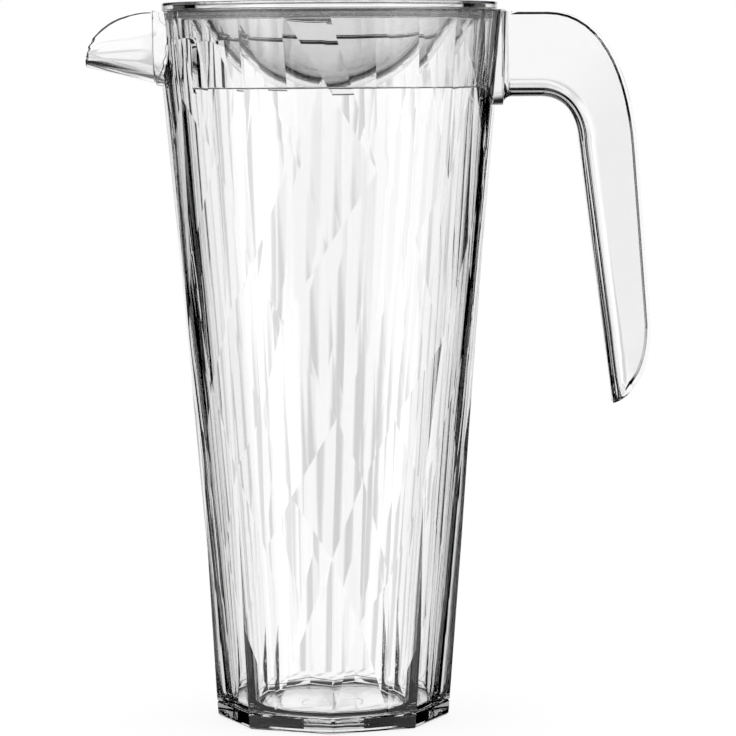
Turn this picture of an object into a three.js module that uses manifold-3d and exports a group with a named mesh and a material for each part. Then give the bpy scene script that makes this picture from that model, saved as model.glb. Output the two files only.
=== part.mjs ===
// Clear plastic water pitcher: a faceted vessel moulded in one with its spout and handle, a lid that
// turns to open or close the spout, and the lid's seal ring. Millimetres, +Z up. The origin is the
// centre of the flat underside, the spout points to -X and the handle to +X.
import * as THREE from "three";
import { mergeVertices } from "three/addons/utils/BufferGeometryUtils.js";
import Module from "manifold-3d";

const wasm = await Module();
wasm.setup();

// Vessel
const RIM_HEIGHT = 256.6;
const RIM_RADIUS = 63.6;
const BASE_RADIUS = 42;
const BASE_SIDES = 8;
const THINNEST_WALL = 2;
const FLOOR_THICKNESS = 5;
const FLOOR_FILLET = 2;
const FOOT_BAND = 5;
const FOOT_CHAMFER = 0.7;
const FOOT_GROOVE = 0.5;
const OCTAGON_HEIGHT = 150;
const RECESS_DEPTH = 0.6;
const RECESS_INNER_RADIUS = 8;
const RECESS_OUTER_RADIUS = 31;

// Facets cut into the vessel's outside
const FACET_COLUMNS = 24;
const FACET_ROWS = 9;
const FACET_DEPTH = 1.8;
const FACET_SWAY = THREE.MathUtils.degToRad(8);
const FACET_STAGGER = 14;

// Spout: an open trough whose sides are trimmed to a quarter ellipse
const SPOUT_REACH = 24.2;
const SPOUT_ROOT = 2.4;
const SPOUT_DROP = 17.6;
const SPOUT_LIP = 2.4;
const SPOUT_DEPTH = 28.6;
const SPOUT_WIDTH = 46;
const SPOUT_NOSE_WIDTH = 17;
const SPOUT_WALL = 2.4;

// Handle: a trough that opens upwards and outwards
const HANDLE_SET = 0.7;
const ARM_REACH = 15.4;
const ARM_DEPTH = 31.2;
const BEND_LEAD = 3;
const KNEE_DROP = 51.6;
const KNEE_LEAD = 4;
const KNEE_DEPTH = 20.8;
const HANDLE_REACH = 51.6;
const HANDLE_DROP = 142;
const HEEL_DEPTH = 16.8;
const GRIP_LEAN = 4.6;
const TIP_LENGTH = 27.5;
const TIP_DEPTH = 3.2;
const HANDLE_WIDTH = 23;
const HANDLE_TIP_WIDTH = 19;
const HANDLE_WALL = 3;
const HANDLE_ROUNDING = 7;

// Lid
const FLANGE_SETBACK = 3;
const FLANGE_THICKNESS = 2.6;
const FLANGE_EDGE = 0.6;
const SKIRT_LENGTH = 28;
const SKIRT_WALL = 2.2;
const DISH_RADIUS = 48.5;
const DISH_DEPTH = 24.5;
const DISH_WALL = 3;
const DISH_FLOOR = 4.7;
const GRIP_TOP_DEPTH = 10.6;
const GRIP_THICKNESS = 3;
const WINDOW_WIDTH = 63;
const WINDOW_HEIGHT = 18;
const WINDOW_ROUNDING = 4;

// Seal ring, in a groove under the flange
const SEAL_HEIGHT = 2.4;
const SEAL_DROP = 0.4;
const GROOVE_DEPTH = 0.8;

// Fillets where the spout and the handle grow out of the wall, less of it at their sides
const SPOUT_FILLET = 0.8;
const HANDLE_FILLET = 3;
const FILLET_SIDE_SHARE = 0.3;

// Clearances and curve steps
const SEAT_GAP = 0.3;
const SKIRT_CLEARANCE = 0.4;
const OVERRUN = 6;
const ROOT_CLEARANCE = 0.4;
const FILLET_STEPS = [0, 0.1, 0.3, 0.6, 1];
const ROUND_STEPS = 96;
const ARC_STEPS = 6;
const DISH_STEPS = 14;
const NOSE_STEPS = 14;
const BEND_STEPS = 14;
const TIP_STEPS = 9;
const WELD = 1e-4;

// Heights and radii that the pieces share
const footCorner = Math.PI / BASE_SIDES;
const columnAngle = (2 * Math.PI) / FACET_COLUMNS;
const cavityRimRadius = RIM_RADIUS * Math.cos(columnAngle / 2) - FACET_DEPTH - THINNEST_WALL;
const cavityBaseRadius = BASE_RADIUS * Math.cos(footCorner) - FACET_DEPTH - THINNEST_WALL;
const cavityRadiusAt = (z) => THREE.MathUtils.lerp(cavityBaseRadius, cavityRimRadius, z / RIM_HEIGHT);
const flangeBottom = RIM_HEIGHT + SEAT_GAP;
const lidTop = flangeBottom + FLANGE_THICKNESS;
const skirtBottom = flangeBottom - SKIRT_LENGTH;
const skirtRadius = cavityRadiusAt(skirtBottom) - SKIRT_CLEARANCE;
const grooveTop = flangeBottom - SEAL_DROP;
const grooveBottom = grooveTop - SEAL_HEIGHT - 2 * SEAT_GAP;
const grooveRadius = skirtRadius - GROOVE_DEPTH;
const dishBottom = lidTop - DISH_DEPTH;
const dishUnderside = dishBottom - DISH_FLOOR;

// A closed three.js geometry as a solid that can be joined and cut.
function solidOf(geometry) {
  const bare = geometry.clone();
  bare.deleteAttribute("normal");
  bare.deleteAttribute("uv");
  const merged = mergeVertices(bare, WELD);
  const corners = [];
  for (let i = 0; i < merged.index.count; i += 3) {
    const [a, b, c] = merged.index.array.slice(i, i + 3);
    if (a !== b && b !== c && c !== a) corners.push(a, b, c);
  }
  return new wasm.Manifold(
    new wasm.Mesh({
      numProp: 3,
      vertProperties: merged.attributes.position.array,
      triVerts: new Uint32Array(corners),
    }),
  );
}

// A named mesh of a finished solid.
function piece(name, solid, material) {
  const { vertProperties, triVerts } = solid.getMesh();
  const geometry = new THREE.BufferGeometry();
  geometry.setAttribute("position", new THREE.BufferAttribute(vertProperties, 3));
  geometry.setIndex(new THREE.BufferAttribute(triVerts, 1));
  geometry.computeVertexNormals();
  const mesh = new THREE.Mesh(geometry, material);
  mesh.name = name;
  return mesh;
}

// A turned solid from a profile of [radius, height] pairs that runs anticlockwise round the section.
function turned(profile) {
  const points = profile.map(([radius, height]) => new THREE.Vector2(radius, height));
  return solidOf(new THREE.LatheGeometry(points, ROUND_STEPS).rotateX(Math.PI / 2));
}

// A skin over a row of convex sections with equal point counts, capped at both ends.
function loft(sections) {
  const count = sections[0].length;
  const last = (sections.length - 1) * count;
  const index = [];
  for (let start = 0; start < last; start += count) {
    for (let i = 0; i < count; i++) {
      const a = start + i;
      const b = start + ((i + 1) % count);
      index.push(a, b, b + count, a, b + count, a + count);
    }
  }
  for (let i = 1; i + 1 < count; i++) {
    index.push(0, i + 1, i, last, last + i, last + i + 1);
  }
  const geometry = new THREE.BufferGeometry().setFromPoints(sections.flat());
  return solidOf(geometry.setIndex(index));
}

// One U section, closed across its rim: it stands on the floor point, faces the rim point and has
// rounded corners at the floor.
function troughSection(floor, rim, halfWidth, rounding) {
  const up = new THREE.Vector3().subVectors(rim, floor);
  const height = up.length();
  const radius = Math.min(rounding, halfWidth, height);
  const outline = [[halfWidth, height]];
  for (const side of [1, -1]) {
    for (let i = 0; i <= ARC_STEPS; i++) {
      const turn = (Math.PI / 2) * (side > 0 ? i / ARC_STEPS : 1 - i / ARC_STEPS);
      const across = halfWidth - radius * (1 - Math.cos(turn));
      outline.push([side * across, radius * (1 - Math.sin(turn))]);
    }
  }
  outline.push([-halfWidth, height]);
  up.normalize();
  return outline.map(([across, along]) => {
    const point = floor.clone().addScaledVector(up, along);
    point.y += across;
    return point;
  });
}

// The hollow of a trough: each station's section drawn in by the wall and carried past the rim.
function troughHollow(stations, wall, rounding) {
  const sections = stations.map(({ floor, rim, halfWidth }) => {
    const up = new THREE.Vector3().subVectors(rim, floor).normalize();
    const innerFloor = floor.clone().addScaledVector(up, wall);
    const openRim = rim.clone().addScaledVector(up, wall + OVERRUN);
    return troughSection(innerFloor, openRim, Math.max(halfWidth - wall, wall / 4), rounding - wall);
  });
  return loft(sections);
}

// A repeatable number from -0.5 to 0.5 for one facet corner.
function facetNoise(column, row, salt) {
  const wave = Math.sin(column * 12.9898 + row * 78.233 + salt * 37.719) * 43758.5453;
  return wave - Math.floor(wave) - 0.5;
}

// The uncut outside: a taper whose octagonal foot turns round as it rises.
function outsideRadius(angle, z) {
  const taper = THREE.MathUtils.lerp(BASE_RADIUS, RIM_RADIUS, z / RIM_HEIGHT);
  const offCorner = THREE.MathUtils.euclideanModulo(angle, 2 * footCorner) - footCorner;
  const octagon = Math.cos(footCorner) / Math.cos(offCorner);
  const share = THREE.MathUtils.clamp((OCTAGON_HEIGHT - z) / (OCTAGON_HEIGHT - FOOT_BAND), 0, 1);
  return taper * THREE.MathUtils.lerp(1, octagon, share);
}

// One upright line of facet corners, from the foot to the rim. Neighbouring lines take turns at the
// rows between, so that the facets are slender upright triangles.
function facetColumn(column) {
  const plainAngle = column * columnAngle;
  const corners = [];
  const corner = (angle, z, inset) => {
    const radius = outsideRadius(angle, z) - inset;
    corners.push(new THREE.Vector3(radius * Math.cos(angle), radius * Math.sin(angle), z));
  };
  corner(plainAngle, 0, FOOT_CHAMFER);
  corner(plainAngle, FOOT_CHAMFER, 0);
  corner(plainAngle, FOOT_BAND, 0);
  corner(plainAngle, FOOT_BAND + FOOT_GROOVE, FOOT_GROOVE);
  corner(plainAngle, FOOT_BAND + 2 * FOOT_GROOVE, 0);
  for (let row = 1; row < FACET_ROWS; row++) {
    if ((row + column) % 2) continue;
    const evenHeight = THREE.MathUtils.lerp(FOOT_BAND + 2 * FOOT_GROOVE, RIM_HEIGHT, row / FACET_ROWS);
    const height = evenHeight + FACET_STAGGER * facetNoise(column, row, 1);
    const angle = plainAngle + FACET_SWAY * facetNoise(column, row, 2);
    corner(angle, height, FACET_DEPTH * (0.5 + facetNoise(column, row, 3)));
  }
  corner(plainAngle, RIM_HEIGHT, 0);
  return corners;
}

// The vessel's outside as one closed block: facets between neighbouring columns, floor and lid caps.
function facetedBlock() {
  const columns = Array.from({ length: FACET_COLUMNS }, (_, column) => facetColumn(column));
  const foot = new THREE.Vector3(0, 0, 0);
  const crown = new THREE.Vector3(0, 0, RIM_HEIGHT);
  const corners = [];
  columns.forEach((left, column) => {
    const right = columns[(column + 1) % FACET_COLUMNS];
    let l = 0;
    let r = 0;
    corners.push(foot, right[0], left[0]);
    while (l + 1 < left.length || r + 1 < right.length) {
      const raiseLeft =
        r + 1 === right.length || (l + 1 < left.length && left[l + 1].z <= right[r + 1].z);
      corners.push(left[l], right[r], raiseLeft ? left[l + 1] : right[r + 1]);
      if (raiseLeft) l++;
      else r++;
    }
    corners.push(crown, left[l], right[r]);
  });
  return solidOf(mergeVertices(new THREE.BufferGeometry().setFromPoints(corners), WELD));
}

// The round hollow for the water, with a filleted floor.
function cavity() {
  const profile = [[0, FLOOR_THICKNESS]];
  const floorRadius = cavityRadiusAt(FLOOR_THICKNESS);
  for (let i = 0; i <= ARC_STEPS; i++) {
    const turn = (Math.PI / 2) * (i / ARC_STEPS);
    const radius = floorRadius - FLOOR_FILLET * (1 - Math.sin(turn));
    profile.push([radius, FLOOR_THICKNESS + FLOOR_FILLET * (1 - Math.cos(turn))]);
  }
  profile.push([cavityRadiusAt(RIM_HEIGHT + OVERRUN), RIM_HEIGHT + OVERRUN], [0, RIM_HEIGHT + OVERRUN]);
  return turned(profile);
}

// The shallow ring under the base that leaves an outer foot and a middle pad to stand on.
function undersideRecess() {
  return turned([
    [RECESS_INNER_RADIUS, -RECESS_DEPTH],
    [RECESS_OUTER_RADIUS, -RECESS_DEPTH],
    [RECESS_OUTER_RADIUS - RECESS_DEPTH, RECESS_DEPTH],
    [RECESS_INNER_RADIUS + RECESS_DEPTH, RECESS_DEPTH],
    [RECESS_INNER_RADIUS, -RECESS_DEPTH],
  ]);
}

// How far a root fillet stands out at a distance from the wall.
function filletAt(distance, radius) {
  const left = radius - THREE.MathUtils.clamp(distance, 0, radius);
  return radius - Math.sqrt(radius ** 2 - left ** 2);
}

// Distances from the wall at which a root fillet needs a station.
const filletDistances = (radius) => (radius > 0 ? FILLET_STEPS.map((step) => step * radius) : [0]);

// Stations of the spout, from inside the cavity to past the lip. The floor rises straight to the lip
// while the sides close in.
function spoutStations(rootFillet) {
  const startFloor = RIM_HEIGHT - SPOUT_DEPTH;
  const startX = cavityRadiusAt(startFloor) - OVERRUN;
  const wallX = THREE.MathUtils.lerp(BASE_RADIUS, RIM_RADIUS, 1 - SPOUT_DEPTH / 2 / RIM_HEIGHT);
  const lipX = RIM_RADIUS + SPOUT_REACH;
  const lipFloor = RIM_HEIGHT - SPOUT_DROP - SPOUT_LIP;
  const stops = [startX, ...filletDistances(rootFillet).map((d) => wallX + d), lipX + OVERRUN];
  return stops.map((x) => {
    const fillet = filletAt(x - wallX, rootFillet);
    const sideFillet = fillet * FILLET_SIDE_SHARE;
    const rise = THREE.MathUtils.mapLinear(x, startX, lipX, startFloor, lipFloor);
    const closing = Math.max(0, (x - wallX) / (lipX - wallX));
    return {
      floor: new THREE.Vector3(-x, 0, rise - fillet),
      rim: new THREE.Vector3(-x, 0, RIM_HEIGHT),
      halfWidth: THREE.MathUtils.lerp(SPOUT_WIDTH, SPOUT_NOSE_WIDTH, closing) / 2 + sideFillet,
    };
  });
}

// The side view that trims the spout: level at the wall, then a quarter ellipse down to the lip.
function spoutTrim() {
  const rootX = RIM_RADIUS + SPOUT_ROOT;
  const lipX = RIM_RADIUS + SPOUT_REACH;
  const lipHeight = RIM_HEIGHT - SPOUT_DROP;
  const outline = new THREE.Shape();
  outline.moveTo(0, RIM_HEIGHT - SPOUT_DEPTH - OVERRUN);
  outline.lineTo(lipX, RIM_HEIGHT - SPOUT_DEPTH - OVERRUN);
  outline.lineTo(lipX, lipHeight);
  outline.absellipse(rootX, lipHeight, lipX - rootX, SPOUT_DROP, 0, Math.PI / 2, false);
  outline.lineTo(0, RIM_HEIGHT);
  outline.closePath();
  const slab = new THREE.ExtrudeGeometry(outline, {
    depth: 2 * SPOUT_WIDTH,
    bevelEnabled: false,
    curveSegments: NOSE_STEPS,
  });
  return solidOf(slab.translate(0, 0, -SPOUT_WIDTH).rotateX(Math.PI / 2).rotateZ(Math.PI));
}

// Stations of the handle: along the arm, round the bend and down the grip. They are handed back from
// the tip to the wall, so that a skin over them faces outwards.
function handleStations(startX, rootFillet, overrun) {
  const at = (x, z) => new THREE.Vector3(x, 0, z);
  const armTop = RIM_HEIGHT - HANDLE_SET;
  const armFloor = RIM_HEIGHT - ARM_DEPTH;
  const bendX = RIM_RADIUS + ARM_REACH;
  const heelX = RIM_RADIUS + HANDLE_REACH;
  const tipZ = RIM_HEIGHT - HANDLE_DROP;
  const kneeRim = at(heelX - GRIP_LEAN, RIM_HEIGHT - KNEE_DROP);
  const kneeFloor = at(kneeRim.x - KNEE_DEPTH, kneeRim.z + KNEE_LEAD);
  const heelRim = at(heelX, tipZ + TIP_LENGTH);
  const heelFloor = at(heelX - HEEL_DEPTH, heelRim.z);
  const fall = (heelFloor.x - kneeFloor.x) / (kneeFloor.z - heelFloor.z);
  const tipFloor = at(heelFloor.x + fall * TIP_LENGTH, tipZ);
  const tipRim = at(tipFloor.x + TIP_DEPTH, tipZ + TIP_DEPTH / 2);
  const armEndFloor = at(bendX - BEND_LEAD, armFloor);
  const armEndRim = at(bendX, armTop);
  const corner = (from, to, rise) => at(to.x - (from.z - to.z) * rise, from.z);
  const bend = (from, to) =>
    new THREE.CubicBezierCurve3(
      from,
      from.clone().lerp(corner(from, to, 0), 0.6),
      to.clone().lerp(corner(from, to, 0.07), 0.6),
      to,
    );
  const wallX = THREE.MathUtils.lerp(BASE_RADIUS, RIM_RADIUS, 1 - ARM_DEPTH / 2 / RIM_HEIGHT);
  const rootStops = rootFillet > 0 ? filletDistances(rootFillet).map((d) => wallX + d) : [];
  const stations = [startX, ...rootStops].map((x) => {
    const fillet = filletAt(x - wallX, rootFillet);
    return {
      floor: at(x, armFloor - fillet),
      rim: at(x, armTop),
      halfWidth: HANDLE_WIDTH / 2 + fillet * FILLET_SIDE_SHARE,
    };
  });
  const stretches = [
    [bend(armEndFloor, kneeFloor), bend(armEndRim, kneeRim), BEND_STEPS],
    [new THREE.LineCurve3(kneeFloor, heelFloor), new THREE.LineCurve3(kneeRim, heelRim), 2],
    [new THREE.LineCurve3(heelFloor, tipFloor),
      new THREE.QuadraticBezierCurve3(heelRim, at(heelRim.x, tipZ + TIP_LENGTH / 3), tipRim), TIP_STEPS],
  ];
  for (const [floorLine, rimLine, steps] of stretches) {
    for (let i = floorLine === stretches[0][0] ? 0 : 1; i <= steps; i++) {
      const floor = floorLine.getPoint(i / steps);
      const rim = rimLine.getPoint(i / steps);
      const width = THREE.MathUtils.lerp(HANDLE_WIDTH, HANDLE_TIP_WIDTH, (RIM_HEIGHT - rim.z) / HANDLE_DROP);
      stations.push({ floor, rim, halfWidth: width / 2 });
    }
  }
  const tip = stations.at(-1);
  const runOut = tipFloor.clone().sub(heelFloor).setLength(overrun);
  const pastTip = { ...tip, floor: tip.floor.clone().add(runOut), rim: tip.rim.clone().add(runOut) };
  if (overrun > 0) stations.push(pastTip);
  return stations.reverse();
}

// A trough's whole outside, before its hollow is cut.
function troughBlock(stations, rounding) {
  return loft(stations.map(({ floor, rim, halfWidth }) => troughSection(floor, rim, halfWidth, rounding)));
}

// The pitcher itself, one moulding: vessel, spout and handle.
function pitcherSolid() {
  const spout = spoutStations(SPOUT_FILLET);
  const handle = handleStations(cavityRadiusAt(RIM_HEIGHT - ARM_DEPTH) - OVERRUN, HANDLE_FILLET, 0);
  const handleHollow = handleStations(RIM_RADIUS + ROOT_CLEARANCE, 0, OVERRUN);
  const roundSpout = SPOUT_WIDTH / 2;
  return facetedBlock()
    .add(troughBlock(spout, roundSpout).intersect(spoutTrim()))
    .add(troughBlock(handle, HANDLE_ROUNDING))
    .subtract(cavity())
    .subtract(undersideRecess())
    .subtract(troughHollow(spoutStations(0), SPOUT_WALL, roundSpout))
    .subtract(troughHollow(handleHollow, HANDLE_WALL, HANDLE_ROUNDING));
}

// A dish's surface: the centre and radius of the arc from its lowest point to a rim.
function dishArc(lowest, rimRadius, rimHeight) {
  const depth = rimHeight - lowest;
  const radius = (rimRadius ** 2 + depth ** 2) / (2 * depth);
  return { radius, centre: lowest + radius, sweep: Math.asin(rimRadius / radius) };
}

// Such an arc as [radius, height] pairs, from the axis up to the rim.
function dishPoints({ radius, centre, sweep }) {
  return Array.from({ length: DISH_STEPS + 1 }, (_, i) => {
    const turn = (sweep * i) / DISH_STEPS;
    return [radius * Math.sin(turn), centre - radius * Math.cos(turn)];
  });
}

const dishTopArc = dishArc(dishBottom, DISH_RADIUS, lidTop);
const dishUnderArc = dishArc(dishUnderside, DISH_RADIUS + DISH_WALL, flangeBottom);

// The lid's turned body: flange, skirt with its seal groove, and the sunk dish.
function lidBody() {
  const flangeRadius = RIM_RADIUS - FLANGE_SETBACK;
  const skirtInside = skirtRadius - SKIRT_WALL;
  return turned([
    ...dishPoints(dishUnderArc),
    [skirtInside, flangeBottom],
    [skirtInside, skirtBottom],
    [skirtRadius, skirtBottom],
    [skirtRadius, grooveBottom],
    [grooveRadius, grooveBottom],
    [grooveRadius, grooveTop],
    [skirtRadius, grooveTop],
    [skirtRadius, flangeBottom],
    [flangeRadius - FLANGE_EDGE, flangeBottom],
    [flangeRadius, flangeBottom + FLANGE_EDGE],
    [flangeRadius, lidTop - FLANGE_EDGE],
    [flangeRadius - FLANGE_EDGE, lidTop],
    ...dishPoints(dishTopArc).reverse(),
  ]);
}

// The upright grip that bridges the dish, rooted in the middle of the dish's wall.
function gripWeb() {
  const root = dishArc(dishBottom - DISH_FLOOR / 2, DISH_RADIUS + DISH_WALL / 2, lidTop);
  const sweep = Math.acos((root.centre - (lidTop - GRIP_TOP_DEPTH)) / root.radius);
  const outline = new THREE.Shape();
  outline.absarc(0, root.centre, root.radius, -Math.PI / 2 - sweep, -Math.PI / 2 + sweep, false);
  const web = new THREE.ExtrudeGeometry(outline, {
    depth: GRIP_THICKNESS,
    bevelEnabled: false,
    curveSegments: DISH_STEPS * 2,
  });
  return solidOf(web.translate(0, 0, -GRIP_THICKNESS / 2).rotateX(Math.PI / 2));
}

// The pour window: a notch in the skirt, open at the bottom, that lets water into the spout.
function pourWindow() {
  const half = WINDOW_WIDTH / 2;
  const top = skirtBottom + WINDOW_HEIGHT;
  const outline = new THREE.Shape();
  outline.moveTo(-half, skirtBottom - OVERRUN);
  outline.lineTo(half, skirtBottom - OVERRUN);
  outline.lineTo(half, top - WINDOW_ROUNDING);
  outline.absarc(half - WINDOW_ROUNDING, top - WINDOW_ROUNDING, WINDOW_ROUNDING, 0, Math.PI / 2, false);
  outline.absarc(WINDOW_ROUNDING - half, top - WINDOW_ROUNDING, WINDOW_ROUNDING, Math.PI / 2, Math.PI, false);
  outline.closePath();
  const nearSkirt = Math.sqrt((skirtRadius - SKIRT_WALL) ** 2 - half ** 2) - SKIRT_WALL / 2;
  const cutter = new THREE.ExtrudeGeometry(outline, {
    depth: skirtRadius + OVERRUN - nearSkirt,
    bevelEnabled: false,
    curveSegments: ARC_STEPS,
  });
  const upright = new THREE.Matrix4().makeBasis(
    new THREE.Vector3(0, -1, 0),
    new THREE.Vector3(0, 0, 1),
    new THREE.Vector3(-1, 0, 0),
  );
  return solidOf(cutter.translate(0, 0, nearSkirt).applyMatrix4(upright));
}

// The lid: one moulding.
function lidSolid() {
  return lidBody().add(gripWeb()).subtract(pourWindow());
}

// The seal: a soft ring with a rounded lip that bears on the vessel's inner wall.
function sealSolid() {
  const top = grooveTop - SEAT_GAP;
  const bottom = top - SEAL_HEIGHT;
  const inside = grooveRadius + SEAT_GAP;
  const lip = cavityRadiusAt(bottom) - SEAT_GAP;
  const lipHeight = SEAL_HEIGHT / 3;
  return turned([
    [inside, bottom],
    [lip - lipHeight, bottom],
    [lip, bottom + lipHeight],
    [lip, top - lipHeight],
    [lip - lipHeight, top],
    [inside, top],
    [inside, bottom],
  ]);
}

const clearPlastic = new THREE.MeshStandardMaterial({
  color: 0xf3f6f8,
  roughness: 0.04,
  metalness: 0,
  transparent: true,
  opacity: 0.35,
});
const clearSilicone = new THREE.MeshStandardMaterial({
  color: 0xe9edf0,
  roughness: 0.35,
  metalness: 0,
  transparent: true,
  opacity: 0.6,
});

const pitcher = new THREE.Group();
pitcher.add(piece("pitcher_body", pitcherSolid(), clearPlastic));
pitcher.add(piece("lid", lidSolid(), clearPlastic));
pitcher.add(piece("lid_seal", sealSolid(), clearSilicone));

export default pitcher;
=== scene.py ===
# %% [markdown]
# # A clear plastic water pitcher
# The object is a tall pitcher of clear, brittle-looking plastic. The vessel, its spout and its handle are
# one moulding, cut all over with long uneven facets. A lid with a sunk dish stands in its mouth, and a
# soft seal ring sits in a groove of the lid. Clear plastic has no colour of its own, so nearly all that
# is seen comes from the shape of its walls and from what stands around it. The lesson therefore spends
# its care on true edges, wall thickness and studio light.
#
# The CAD frame comes first. It fixes where each piece is, and all that follows is fitted to it.

# %% Load the frame
import math

import bmesh
import bpy
from mathutils import Matrix, Vector


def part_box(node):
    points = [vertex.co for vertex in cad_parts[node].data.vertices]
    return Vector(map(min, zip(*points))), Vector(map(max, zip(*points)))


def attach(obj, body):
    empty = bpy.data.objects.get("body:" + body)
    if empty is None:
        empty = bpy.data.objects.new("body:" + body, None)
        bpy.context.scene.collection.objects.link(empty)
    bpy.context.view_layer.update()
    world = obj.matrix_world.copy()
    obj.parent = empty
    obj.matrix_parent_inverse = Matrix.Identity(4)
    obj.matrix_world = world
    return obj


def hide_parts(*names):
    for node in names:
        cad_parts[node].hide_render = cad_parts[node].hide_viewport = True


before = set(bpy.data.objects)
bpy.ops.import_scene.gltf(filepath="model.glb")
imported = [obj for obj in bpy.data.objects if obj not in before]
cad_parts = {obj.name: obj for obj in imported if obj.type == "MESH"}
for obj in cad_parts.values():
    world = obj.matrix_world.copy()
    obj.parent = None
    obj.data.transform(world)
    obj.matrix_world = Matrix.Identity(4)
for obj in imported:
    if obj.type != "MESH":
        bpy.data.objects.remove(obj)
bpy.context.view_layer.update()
bpy.ops.object.select_all(action="DESELECT")
scene = bpy.context.scene
scene.view_settings.view_transform = "Standard"
MM = 0.001
body_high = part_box("pitcher_body")[1]
lid_low, lid_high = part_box("lid")
seal_low, seal_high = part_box("lid_seal")

# %% [markdown]
# ## Camera
# The photograph looks at the pitcher square from the side, from a little under the height of its rim,
# with a long lens: the mouth is nearly a line, and the foot curves only slightly. A camera well back with
# a narrow view gives the same. The aim point is a little to the right of the axis, because the handle
# reaches further than the spout.

# %% Place the camera
EYE = Vector((0.0145, -1.4, 0.2362))
AIM = Vector((0.01325, 0.0, 0.12725))
PICTURE_WIDTH = 0.26737
ROLL = math.radians(-0.29)
camera = bpy.data.objects.new("camera", bpy.data.cameras.new("camera"))
scene.collection.objects.link(camera)
scene.camera = camera
look = AIM - EYE
camera.location = EYE
camera.rotation_mode = "QUATERNION"
camera.rotation_quaternion = look.to_track_quat("-Z", "Y") @ Matrix.Rotation(ROLL, 4, "Z").to_quaternion()
camera.data.sensor_width = 36
camera.data.lens = 36 * look.length / PICTURE_WIDTH
print("lens", round(camera.data.lens), "mm, from", round(look.length, 2), "m away")

# %% [markdown]
# ## Floor and studio
# The pitcher stands on a plain white table in front of a white wall. Clear things are lit for their
# edges: the wall behind is bright, and dark panels stand round the room out of sight. Rays that pass
# straight through the wall of the vessel meet the bright wall, and rays that are bent or thrown back
# inside an edge end at a dark panel, which draws that edge as a dark line. The panels stand all the way
# round, so that the pitcher reads the same from every side.

# %% Small helpers for shader nodes
def add_node(tree, kind, **settings):
    node = tree.nodes.new(kind)
    for name, value in settings.items():
        setattr(node, name, value)
    return node


def feed(tree, value, socket):
    if isinstance(value, bpy.types.NodeSocket):
        tree.links.new(value, socket)
    else:
        socket.default_value = value


def calc(tree, operation, *values):
    node = add_node(tree, "ShaderNodeMath", operation=operation)
    for value, socket in zip(values, node.inputs):
        feed(tree, value, socket)
    return node.outputs[0]


def ease(tree, value, start, end, low, high):
    node = add_node(tree, "ShaderNodeMapRange", interpolation_type="SMOOTHSTEP")
    for item, socket in zip((value, start, end, low, high), node.inputs):
        feed(tree, item, socket)
    return node.outputs[0]


def choose(tree, switch, when_off, when_on):
    node = add_node(tree, "ShaderNodeMix", data_type="FLOAT")
    feed(tree, switch, node.inputs[0])
    feed(tree, when_off, node.inputs[2])
    feed(tree, when_on, node.inputs[3])
    return node.outputs[0]


print("shader helpers ready")

# %% [markdown]
# The table only has to take a soft shadow, so a disc is enough, pale and matt, with a little glow of its
# own to reach the white of the photograph. Rays inside clear plastic pass it by and go on to the room:
# the lower half of the room stands for the table there, which keeps the look of the plastic in one place.

# %% The white table
FLOOR_RADIUS = 0.5
FLOOR_DROP = 0.0002
FLOOR_GREY = 0.22
FLOOR_GLOW = 0.82
bpy.ops.mesh.primitive_circle_add(
    vertices=96, radius=FLOOR_RADIUS, fill_type="NGON", location=(0, 0, -FLOOR_DROP)
)
floor = bpy.context.object
floor.name = "floor"
bpy.ops.object.transform_apply(location=True)
table_white = bpy.data.materials.new("table_white")
table_white.use_nodes = True
tree = table_white.node_tree
tree.nodes.clear()
diffuse = add_node(tree, "ShaderNodeBsdfDiffuse")
diffuse.inputs["Color"].default_value = (FLOOR_GREY, FLOOR_GREY, FLOOR_GREY, 1)
glow = add_node(tree, "ShaderNodeEmission")
glow.inputs["Strength"].default_value = FLOOR_GLOW
both = add_node(tree, "ShaderNodeAddShader")
output = add_node(tree, "ShaderNodeOutputMaterial")
tree.links.new(diffuse.outputs[0], both.inputs[0])
tree.links.new(glow.outputs[0], both.inputs[1])
tree.links.new(both.outputs[0], output.inputs["Surface"])
floor.data.materials.append(table_white)
floor.visible_transmission = False
floor.visible_glossy = False
print("floor", FLOOR_RADIUS * 2, "m across")

# %% [markdown]
# The room is drawn in the nodes of the world, as a brightness for each direction. A direction is a turn
# round the upright axis and a height over the horizon. A row of panels is then a sine of the turn, and it
# leans when some of the height is added. Pictures of a room could do the same, but a formula has no seams
# and no file.

# %% Directions in the room
world = bpy.data.worlds.new("studio")
scene.world = world
world.use_nodes = True
tree = world.node_tree
tree.nodes.clear()
paths = add_node(tree, "ShaderNodeLightPath")
direction = add_node(tree, "ShaderNodeTexCoord").outputs["Generated"]
around = add_node(tree, "ShaderNodeTexGradient", gradient_type="RADIAL")
tree.links.new(direction, around.inputs[0])
turn = around.outputs["Fac"]
parts = add_node(tree, "ShaderNodeSeparateXYZ")
tree.links.new(direction, parts.inputs[0])
height = calc(tree, "ARCSINE", parts.outputs["Z"])


def panels(count, shift, lean):
    """A row of soft upright panels round the room: 1 at their middle, 0 halfway between two."""
    angle = calc(tree, "MULTIPLY_ADD", turn, 2 * math.pi * count, shift)
    leaning = calc(tree, "MULTIPLY_ADD", height, lean, angle)
    return calc(tree, "MULTIPLY_ADD", calc(tree, "SINE", leaning), 0.5, 0.5)


def by_height(low_angle, high_angle, at_low, at_high):
    return ease(tree, height, math.radians(low_angle), math.radians(high_angle), at_low, at_high)


print("room directions ready")

# %% [markdown]
# Rays that pass straight through meet a white wall with pale grey stripes. Each facet bends its rays to
# another stripe, so neighbours differ in tone and their borders show. The ceiling is dark, and so are
# some cards low down, which draw the corner of the floor. Right below, the view is white again, as a
# table is from above. The wall is a little over white for these rays alone, because every surface on the
# way mirrors a part of the light away.

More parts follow.
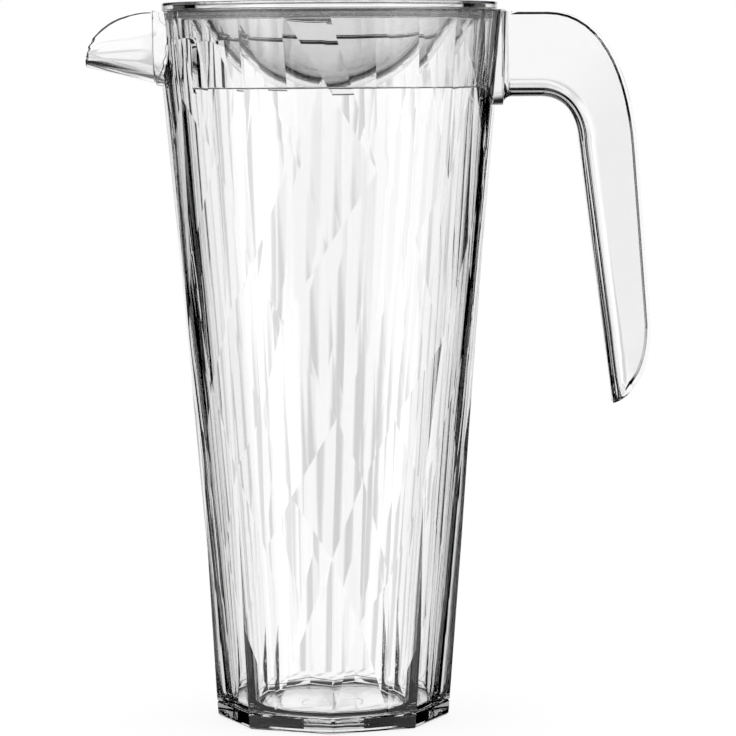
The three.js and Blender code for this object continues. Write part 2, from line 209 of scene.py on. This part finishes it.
# %% What a straight ray meets
WHITE = 1.14
PALE_STRIPE = 0.34
broad = ease(tree, panels(20, math.pi + 0.8, 26), 0.55, 0.95, 0.0, 1.0)
broken = ease(tree, panels(11, 2.6, -34), 0.2, 0.6, 0.3, 1.0)
pale = calc(tree, "MULTIPLY_ADD", calc(tree, "MULTIPLY", broad, broken), -PALE_STRIPE, WHITE)
ceiling = by_height(10, 28, 1.0, 0.02)
right_below = by_height(-62, -54, 0.0, 1.0)
low_band = by_height(-38, -27, right_below, 0.0)
low_cards = ease(tree, panels(6, -math.pi / 2, 0.0), 0.35, 0.5, 0.0, 0.96)
past_cards = calc(tree, "SUBTRACT", 1.0, calc(tree, "MULTIPLY", low_band, low_cards))
through = calc(tree, "MULTIPLY", calc(tree, "MULTIPLY", pale, ceiling), past_cards)
print("wall", WHITE, "darkest stripe", round(WHITE - PALE_STRIPE, 2))

# %% [markdown]
# Rays that are thrown back inside the plastic leave it in odd directions. For them the room has three
# broad dark panels, a dark floor and the same ceiling, so the sides of the vessel, the rims and the
# chamfers turn into dark lines. Rays that have crossed the lid as well keep only the dark floor, or the
# dish would fill with black.

# %% What a thrown ray meets
dark = ease(tree, panels(3, 0.0, 1.0), 0.7, 0.78, 0.0, 1.0)
dark_floor = by_height(-25, -17, 0.03, 1.0)
floor_of_lid = by_height(-17, -14.5, 0.0, 1.0)
many_walls = calc(tree, "GREATER_THAN", paths.outputs["Transmission Depth"], 6.5)
banded = choose(tree, many_walls, calc(tree, "MULTIPLY", dark, dark_floor), floor_of_lid)
thrown = calc(tree, "MULTIPLY", banded, ceiling)
print("dark panels ready")

# %% [markdown]
# The paths of light tell the cases apart. Rays from the camera and light that falls on the table meet
# plain white, so the background stays even. Clear plastic also needs many bounces, or its edges go black
# where the count runs out.

# %% Put the room together
straight = calc(tree, "LESS_THAN", paths.outputs["Glossy Depth"], 0.5)
inside = calc(tree, "GREATER_THAN", paths.outputs["Transmission Depth"], 0.5)
seen_in_plastic = choose(tree, straight, choose(tree, inside, dark, thrown), through)
plain = calc(tree, "MAXIMUM", paths.outputs["Is Camera Ray"], paths.outputs["Is Diffuse Ray"])
backdrop = add_node(tree, "ShaderNodeBackground")
backdrop.inputs["Color"].default_value = (1, 1, 1, 1)
feed(tree, choose(tree, plain, seen_in_plastic, 1.0), backdrop.inputs["Strength"])
output = add_node(tree, "ShaderNodeOutputWorld")
tree.links.new(backdrop.outputs[0], output.inputs["Surface"])
scene.cycles.max_bounces = 48
scene.cycles.transmission_bounces = 48
scene.cycles.glossy_bounces = 24
scene.cycles.transparent_max_bounces = 32
print("studio nodes", len(tree.nodes))

# %% [markdown]
# ## Pitcher body
# The vessel, spout and handle are one moulding, and the CAD node already has every facet, both fillets
# and the hollows. Drawing it again would only move it, so a copy of its mesh is taken. The copy comes as
# loose triangles and is merged first. Then the look of its edges is decided: a facet has to stay flat up
# to its border, while the round hollow, the bend of the handle and the spout have to look smooth.

# %% Copy the body and merge its triangles
def copy_of_node(node_name, piece_name):
    piece = bpy.data.objects.new(piece_name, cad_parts[node_name].data.copy())
    scene.collection.objects.link(piece)
    piece.data.materials.clear()
    bpy.ops.object.select_all(action="DESELECT")
    piece.select_set(True)
    bpy.context.view_layer.objects.active = piece
    bpy.ops.mesh.customdata_custom_splitnormals_clear()
    bpy.ops.object.mode_set(mode="EDIT")
    bpy.ops.mesh.select_all(action="SELECT")
    bpy.ops.mesh.remove_doubles(threshold=0.002 * MM)
    bpy.ops.object.mode_set(mode="OBJECT")
    return piece


pitcher = copy_of_node("pitcher_body", "clear_pitcher")
print("pitcher", len(pitcher.data.vertices), "vertices")

# %% [markdown]
# The photograph shows the corner between wall and floor as a thick dark line, which only a generous
# rounding gives. The points of the small rounding are spread along a wider one. No edge is added, so the
# hollow stays closed.

# %% Widen the rounding of the inner floor
INNER_FLOOR = 5.0 * MM
NARROW, WIDE = 2.0 * MM, 5.0 * MM
NARROW_CORNER, WIDE_CORNER = 35.48 * MM, 35.7 * MM
SLACK = 0.01 * MM
bpy.ops.object.mode_set(mode="EDIT")
mesh = bmesh.from_edit_mesh(pitcher.data)
moved = 0
for vert in mesh.verts:
    out = vert.co.xy.length
    rise = vert.co.z - INNER_FLOOR
    if not 30 * MM < out < NARROW_CORNER + 0.5 * MM or not -SLACK < rise < NARROW + SLACK:
        continue
    across = 1 - (NARROW_CORNER - out) / NARROW
    vert.co.xy = vert.co.xy * ((WIDE_CORNER - WIDE * (1 - across)) / out)
    vert.co.z = INNER_FLOOR + WIDE * rise / NARROW
    moved += 1
bmesh.update_edit_mesh(pitcher.data)
bpy.ops.object.mode_set(mode="OBJECT")
print("floor rounding", moved, "points")

# %% [markdown]
# No moulded edge is sharp. The mouth and the inner edges of the handle get a small rounding. The outer
# rims of handle and spout are chamfered flat instead: a flat chamfer throws its light down the wall, so
# it shows as one clean dark line, as in the photograph, where the far rim is the darker one. The bevel
# tool needs to know which edges are meant, so a helper sorts the edges by their place and by the way
# their faces look.

# %% Sort the edges of the pitcher
RIM_HEIGHT = body_high.z
SHARP_EDGE = math.radians(40)
GRIP_FROM, GRIP_TIP = 67 * MM, 117 * MM
SPOUT_FROM, SPOUT_MIDDLE = -66 * MM, 3 * MM
MOUTH_RADIUS = 64 * MM
SPOUT_ROOT, GRIP_ROOT = 26 * MM, 14 * MM


def kind_of_edge(edge):
    """Tells the outer rims of grip and spout, the other edges in reach of a hand, and the rest apart."""
    if not edge.is_convex or edge.calc_face_angle(0) < SHARP_EDGE:
        return "rest"
    middle = (edge.verts[0].co + edge.verts[1].co) / 2
    grip = middle.x > GRIP_FROM and middle.z > GRIP_TIP
    spout = middle.x < SPOUT_FROM and abs(middle.y) > SPOUT_MIDDLE
    if grip or spout:
        normals = [face.normal for face in edge.link_faces]
        if grip:
            facing = max(normal.x + max(normal.z, 0) for normal in normals)
        else:
            facing = max(normal.z - normal.x for normal in normals)
        if facing < 0.5:
            return "rounded" if grip else "rest"
        if max(normal.y * middle.y for normal in normals) < 0.5 * abs(middle.y):
            return "rest"
        return ("far" if middle.y > 0 else "near") + ("_grip" if grip else "_spout")
    clear_of_roots = abs(middle.y) > (SPOUT_ROOT if middle.x < 0 else GRIP_ROOT)
    at_rim = middle.z > RIM_HEIGHT - 0.2 * MM and middle.xy.length < MOUTH_RADIUS
    return "rounded" if at_rim and clear_of_roots else "rest"


print("rim height", round(RIM_HEIGHT / MM, 1), "mm")

# %% [markdown]
# The triangles of spout and handle are long and thin, and a bevel would break on their diagonals. They
# are paired into quads before the edges are cut, and on the spout all that lies in one plane becomes one
# face, which lets the chamfer run in an even line.

# %% Round and chamfer the edges
EDGE_ROUNDING = 0.5 * MM
RIM_CHAMFERS = {"far_grip": 0.8 * MM, "near_grip": 0.25 * MM, "far_spout": 0.4 * MM}


def bevel_edges(kind, offset, segments):
    bpy.ops.mesh.select_all(action="DESELECT")
    mesh = bmesh.from_edit_mesh(pitcher.data)
    chosen = [edge for edge in mesh.edges if kind_of_edge(edge) == kind]
    for edge in chosen:
        edge.select_set(True)
    bmesh.update_edit_mesh(pitcher.data)
    bpy.ops.mesh.bevel(offset=offset, segments=segments, affect="EDGES", clamp_overlap=False)
    print(kind, len(chosen), "edges")


bpy.ops.object.mode_set(mode="EDIT")
bpy.ops.mesh.dissolve_degenerate(threshold=0.01 * MM)
bpy.ops.mesh.remove_doubles(threshold=0.25 * MM)
bpy.ops.mesh.select_mode(type="FACE")
bpy.ops.mesh.select_all(action="DESELECT")
mesh = bmesh.from_edit_mesh(pitcher.data)
for face in mesh.faces:
    face.select_set(abs(face.calc_center_median().x) >= GRIP_FROM)
bmesh.update_edit_mesh(pitcher.data)
bpy.ops.mesh.tris_convert_to_quads(face_threshold=math.radians(25), shape_threshold=math.radians(60))
bpy.ops.mesh.select_all(action="DESELECT")
mesh = bmesh.from_edit_mesh(pitcher.data)
for face in mesh.faces:
    face.select_set(face.calc_center_median().x < SPOUT_FROM)
bmesh.update_edit_mesh(pitcher.data)
bpy.ops.mesh.dissolve_limited(angle_limit=math.radians(1))
bpy.ops.mesh.select_mode(type="EDGE")
bevel_edges("rounded", EDGE_ROUNDING, 5)
for side, chamfer in RIM_CHAMFERS.items():
    bevel_edges(side, chamfer, 1)
bpy.ops.object.mode_set(mode="OBJECT")

# %% [markdown]
# Between two facets every edge stays sharp, because a facet mirrors and bends light as one flat pane.
# Elsewhere only real corners are sharp. Weighted normals then keep the large flat sides level up to the
# small roundings.

# %% Keep the facets flat and the rest smooth
HOLLOW_BASE = 35.0 * MM
HOLLOW_RIM = 59.26 * MM


def is_facet(face):
    centre = face.calc_center_median()
    out = Vector((centre.x, centre.y, 0))
    hollow = HOLLOW_BASE + (HOLLOW_RIM - HOLLOW_BASE) * centre.z / RIM_HEIGHT
    outside = hollow + 0.8 * MM < out.length < 65 * MM
    if not outside or not -64 * MM < centre.x < 64.5 * MM:
        return False
    return face.normal.dot(out.normalized()) > 0.6


bpy.ops.object.shade_smooth()
bpy.ops.object.mode_set(mode="EDIT")
mesh = bmesh.from_edit_mesh(pitcher.data)
facets = {face.index for face in mesh.faces if is_facet(face)}
for edge in mesh.edges:
    sides = [face.index in facets for face in edge.link_faces]
    limit = math.radians(0.3) if all(sides) else math.radians(22)
    edge.smooth = len(sides) == 2 and edge.calc_face_angle(3.0) < limit
bmesh.update_edit_mesh(pitcher.data)
bpy.ops.object.mode_set(mode="OBJECT")
level = pitcher.modifiers.new("level_sides", "WEIGHTED_NORMAL")
level.keep_sharp = True
bpy.ops.object.modifier_apply(modifier=level.name)
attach(pitcher, "pitcher")
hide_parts("pitcher_body")
print("facets", len(facets))

# %% [markdown]
# ## Lid
# The lid is a turned shape: a flat flange that rests on the rim, a skirt that goes down into the mouth
# with a groove for the seal, and a deep dish between. Turned shapes are drawn as half a section and spun.
# The section is drawn with all its corners rounded, because a moulded edge is never sharp and each
# rounded edge shows as its own thin line in clear plastic. Two helpers do that: one rounds a row of
# corners, the other draws it from a single point by extruding, and spins it.

# %% Helpers for drawing a section
def rounded(corners):
    """Points along a row of (radius, height, rounding) corners, in millimetres."""
    steps = 5
    points = []
    for i, (x, z, size) in enumerate(corners):
        here = Vector((x, z))
        if size == 0:
            points.append(here)
            continue
        before = Vector(corners[i - 1][:2]) - here
        after = Vector(corners[(i + 1) % len(corners)][:2]) - here
        half = before.angle(after) / 2
        reach = size / math.tan(half)
        start, end = here + before.normalized() * reach, here + after.normalized() * reach
        middle = here + (before.normalized() + after.normalized()).normalized() * (size / math.sin(half))
        first, last = (start - middle).normalized(), (end - middle).normalized()
        points += [middle + first.slerp(last, step / steps) * size for step in range(steps + 1)]
    return points


def spin_section(name, points, steps, closed):
    """Draws the points in the XZ plane from one vertex, then spins them round the Z axis."""
    bpy.ops.object.select_all(action="DESELECT")
    bpy.ops.mesh.primitive_plane_add(size=MM, location=(0, 0, 0))
    piece = bpy.context.object
    piece.name = name
    bpy.ops.object.mode_set(mode="EDIT")
    bpy.ops.mesh.select_mode(type="VERT")
    bpy.ops.mesh.select_all(action="SELECT")
    bpy.ops.mesh.merge(type="CENTER")
    path = [Vector((x, 0, z)) * MM for x, z in points]
    bpy.ops.transform.translate(value=path[0])
    for start, end in zip(path, path[1:] + path[:1] * closed):
        bpy.ops.mesh.extrude_region_move(TRANSFORM_OT_translate={"value": end - start})
    bpy.ops.mesh.select_all(action="SELECT")
    bpy.ops.mesh.remove_doubles(threshold=0.002 * MM)
    bpy.ops.mesh.spin(steps=steps, angle=2 * math.pi, center=(0, 0, 0), axis=(0, 0, 1))
    bpy.ops.mesh.select_all(action="SELECT")
    bpy.ops.mesh.remove_doubles(threshold=0.002 * MM)
    bpy.ops.mesh.normals_make_consistent(inside=False)
    bpy.ops.object.mode_set(mode="OBJECT")
    return piece


print("section helpers ready")

# %% [markdown]
# The dish is a shallow bowl under an upright lip. Its underside shares the centre of the bowl, so the
# wall is even and its two faces run side by side. From the side they draw the round dark line of the
# dish.

# %% Spin the lid
LID_TOP = lid_high.z / MM
FLANGE_RADIUS = lid_high.x / MM
SKIRT_BOTTOM = lid_low.z / MM
FLANGE_BOTTOM = LID_TOP - 2.6
SKIRT_RADIUS = 56.24
SKIRT_INSIDE = SKIRT_RADIUS - 2.2
GROOVE = (SKIRT_RADIUS - 0.8, FLANGE_BOTTOM - 0.4, FLANGE_BOTTOM - 3.4)
DISH_RADIUS = 48.5
DISH_DEPTH = 23.2
DISH_WALL = 3.6
DISH_LIP = 3.0


def dish_arc(lowest, rim_radius, rim_height):
    depth = rim_height - lowest
    curve = (rim_radius ** 2 + depth ** 2) / (2 * depth)
    return curve, lowest + curve


def arc_points(arc, stop_height):
    curve, centre = arc
    sweep = math.acos((centre - stop_height) / curve)
    turns = [sweep * i / 30 for i in range(31)]
    return [(curve * math.sin(t), centre - curve * math.cos(t), 0) for t in turns]


DISH_BOTTOM = LID_TOP - DISH_DEPTH
UNDERSIDE_TOP = LID_TOP - 3.9
bowl_curve, bowl_centre = dish_arc(DISH_BOTTOM, DISH_RADIUS, LID_TOP - DISH_LIP)
bowl = arc_points((bowl_curve, bowl_centre), LID_TOP - DISH_LIP)
under = arc_points((bowl_curve + DISH_WALL, bowl_centre), UNDERSIDE_TOP)
section = under + [
    (SKIRT_INSIDE, UNDERSIDE_TOP, 0.5),
    (SKIRT_INSIDE, SKIRT_BOTTOM, 0.7),
    (SKIRT_RADIUS, SKIRT_BOTTOM, 0.7),
    (SKIRT_RADIUS, GROOVE[2], 0.2),
    (GROOVE[0], GROOVE[2], 0.2),
    (GROOVE[0], GROOVE[1], 0.2),
    (SKIRT_RADIUS, GROOVE[1], 0.15),
    (SKIRT_RADIUS, FLANGE_BOTTOM, 0.15),
    (FLANGE_RADIUS, FLANGE_BOTTOM, 0.3),
    (FLANGE_RADIUS, LID_TOP, 0.4),
    (DISH_RADIUS, LID_TOP, 0.5),
] + bowl[::-1]
lid = spin_section("turned_lid", rounded(section), 192, False)
print("lid", len(lid.data.polygons), "faces")

# %% [markdown]
# The dish has an upright web across it for finger and thumb. It starts as a thin drum whose round
# underside follows the dish, is cut off level by a bisect, and is joined on with a boolean. The long top
# edges are chamfered, the far one wider, because that chamfer draws the dark line along the top of the
# web.

# %% Join the grip web
def finish_boolean(piece, tool, operation):
    cut = piece.modifiers.new("cut", "BOOLEAN")
    cut.operation = operation
    cut.solver = "EXACT"
    cut.object = tool
    bpy.ops.object.select_all(action="DESELECT")
    piece.select_set(True)
    bpy.context.view_layer.objects.active = piece
    bpy.ops.object.modifier_apply(modifier=cut.name)
    bpy.data.objects.remove(tool)


WEB_TOP = LID_TOP - 10.6
WEB_THICKNESS = 3.0
WEB_CLEARANCE = 0.35
WEB_REACH = DISH_RADIUS + 1.5
WEB_CHAMFERS = ((1, 1.7 * MM), (-1, 0.4 * MM))
web_radius, web_centre = dish_arc(DISH_BOTTOM + WEB_CLEARANCE, WEB_REACH, LID_TOP - DISH_LIP)
bpy.ops.object.select_all(action="DESELECT")
bpy.ops.mesh.primitive_cylinder_add(
    vertices=180,
    radius=web_radius * MM,
    depth=WEB_THICKNESS * MM,
    location=(0, 0, web_centre * MM),
    rotation=(math.pi / 2, 0, 0),
)
web = bpy.context.object
bpy.ops.object.transform_apply(location=True, rotation=True)
bpy.ops.object.mode_set(mode="EDIT")
bpy.ops.mesh.select_all(action="SELECT")
bpy.ops.mesh.bisect(plane_co=(0, 0, WEB_TOP * MM), plane_no=(0, 0, 1), use_fill=True, clear_outer=True)
bpy.ops.mesh.select_mode(type="EDGE")
for side, chamfer in WEB_CHAMFERS:
    bpy.ops.mesh.select_all(action="DESELECT")
    mesh = bmesh.from_edit_mesh(web.data)
    for edge in mesh.edges:
        a, b = (v.co for v in edge.verts)
        at_top = max(abs(a.z - WEB_TOP * MM), abs(b.z - WEB_TOP * MM)) < 0.01 * MM
        at_side = min(a.y * side, b.y * side) > 0.5 * MM
        edge.select_set(at_top and at_side and abs(a.x - b.x) > MM)
    bmesh.update_edit_mesh(web.data)
    bpy.ops.mesh.bevel(offset=chamfer, segments=1, affect="EDGES")
bpy.ops.object.mode_set(mode="OBJECT")
finish_boolean(lid, web, "UNION")
print("lid with its web", len(lid.data.polygons), "faces")

# %% [markdown]
# Water reaches the spout through a broad notch in the skirt. The notch is a block with rounded upper
# corners that a boolean cuts away.

# %% Cut the pour window
WINDOW_WIDTH = 63.0
WINDOW_TOP = SKIRT_BOTTOM + 18.0
WINDOW_ROUNDING = 4.0
BLOCK = 40.0
bpy.ops.object.select_all(action="DESELECT")
bpy.ops.mesh.primitive_cube_add(size=1, location=(-SKIRT_RADIUS * MM, 0, (WINDOW_TOP - BLOCK / 2) * MM))
window = bpy.context.object
window.scale = (BLOCK * MM, WINDOW_WIDTH * MM, BLOCK * MM)
bpy.ops.object.transform_apply(location=True, scale=True)
bpy.ops.object.mode_set(mode="EDIT")
bpy.ops.mesh.select_all(action="DESELECT")
corners = bmesh.from_edit_mesh(window.data)
for edge in corners.edges:
    a, b = (v.co for v in edge.verts)
    edge.select_set(abs(a.x - b.x) > MM and min(a.z, b.z) > SKIRT_BOTTOM * MM)
bmesh.update_edit_mesh(window.data)
bpy.ops.mesh.bevel(offset=WINDOW_ROUNDING * MM, segments=8, affect="EDGES")
bpy.ops.object.mode_set(mode="OBJECT")
finish_boolean(lid, window, "DIFFERENCE")
bpy.ops.object.shade_smooth_by_angle(angle=math.radians(28))
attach(lid, "lid")
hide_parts("lid")
print("finished lid", len(lid.data.polygons), "faces")

# %% [markdown]
# ## Seal ring
# A soft ring of clear silicone sits in the groove under the flange and presses on the mouth. It is a
# small section with two lips, spun round like the lid.

# %% Spin the seal
SEAL_LOW, SEAL_TOP = seal_low.z / MM, seal_high.z / MM
SEAL_OUT = seal_high.x / MM
SEAL_IN = GROOVE[0] + 0.3
seal_middle = (SEAL_LOW + SEAL_TOP) / 2
section = [
    (SEAL_IN, SEAL_LOW, 0.3),
    (SEAL_OUT - 0.8, SEAL_LOW, 0.2),
    (SEAL_OUT, SEAL_LOW + 0.5, 0.25),
    (SEAL_OUT - 0.7, seal_middle, 0.2),
    (SEAL_OUT, SEAL_TOP - 0.5, 0.25),
    (SEAL_OUT - 0.8, SEAL_TOP, 0.2),
    (SEAL_IN, SEAL_TOP, 0.3),
]
seal = spin_section("seal_ring", rounded(section), 160, True)
bpy.ops.object.shade_smooth_by_angle(angle=math.radians(50))
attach(seal, "seal")
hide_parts("lid_seal")
print("seal", len(seal.data.polygons), "faces")

# %% [markdown]
# ## Materials
# The pitcher and the lid are of the same clear moulded plastic. It is see-through with a bright surface,
# and bends light a little more than water does. Moulding leaves long, very shallow waves in the direction
# in which the plastic ran, so a stretched noise tilts the surface a little, and a second, finer noise
# takes the polish off in places. A little light is lost on the way through, so thick edges and the base
# look darker than the walls. The silicone of the seal is milky: only part of its light goes through.

# %% Clear plastic
def clear_plastic(name, clarity, absorption, wave_height, wave_size, stretch, polish):
    material = bpy.data.materials.new(name)
    material.use_nodes = True
    tree = material.node_tree
    surface = tree.nodes["Principled BSDF"]
    surface.inputs["Base Color"].default_value = (1, 1, 1, 1)
    surface.inputs["Transmission Weight"].default_value = clarity
    surface.inputs["IOR"].default_value = 1.5
    place = add_node(tree, "ShaderNodeTexCoord")
    along = add_node(tree, "ShaderNodeMapping")
    along.inputs["Scale"].default_value = (1, 1, stretch)
    tree.links.new(place.outputs["Object"], along.inputs["Vector"])
    flow = add_node(tree, "ShaderNodeTexNoise")
    flow.inputs["Scale"].default_value = 1 / wave_size
    flow.inputs["Detail"].default_value = 1.5
    tree.links.new(along.outputs[0], flow.inputs["Vector"])
    tilt = add_node(tree, "ShaderNodeBump")
    tilt.inputs["Distance"].default_value = wave_height
    tree.links.new(flow.outputs["Fac"], tilt.inputs["Height"])
    tree.links.new(tilt.outputs[0], surface.inputs["Normal"])
    depth = add_node(tree, "ShaderNodeVolumeAbsorption")
    depth.inputs["Color"].default_value = (0.0, 0.0, 0.0, 1)
    depth.inputs["Density"].default_value = absorption
    tree.links.new(depth.outputs[0], tree.nodes["Material Output"].inputs["Volume"])
    haze = add_node(tree, "ShaderNodeTexNoise")
    haze.inputs["Scale"].default_value = 240
    tree.links.new(place.outputs["Object"], haze.inputs["Vector"])
    tree.links.new(ease(tree, haze.outputs["Fac"], 0.45, 0.75, *polish), surface.inputs["Roughness"])
    return material


BRIGHT, SOFT = (0.0, 0.009), (0.25, 0.4)
finishes = {
    pitcher: clear_plastic("clear_plastic", 1.0, 7.0, 0.012 * MM, 9 * MM, 0.12, BRIGHT),
    lid: clear_plastic("clear_plastic_lid", 1.0, 1.0, 0.01 * MM, 14 * MM, 1.0, BRIGHT),
    seal: clear_plastic("clear_silicone", 0.45, 1.0, 0.02 * MM, 2 * MM, 1.0, SOFT),
}
for piece, finish in finishes.items():
    piece.data.materials.clear()
    piece.data.materials.append(finish)
print("materials", [piece.data.materials[0].name for piece in (pitcher, lid, seal)])
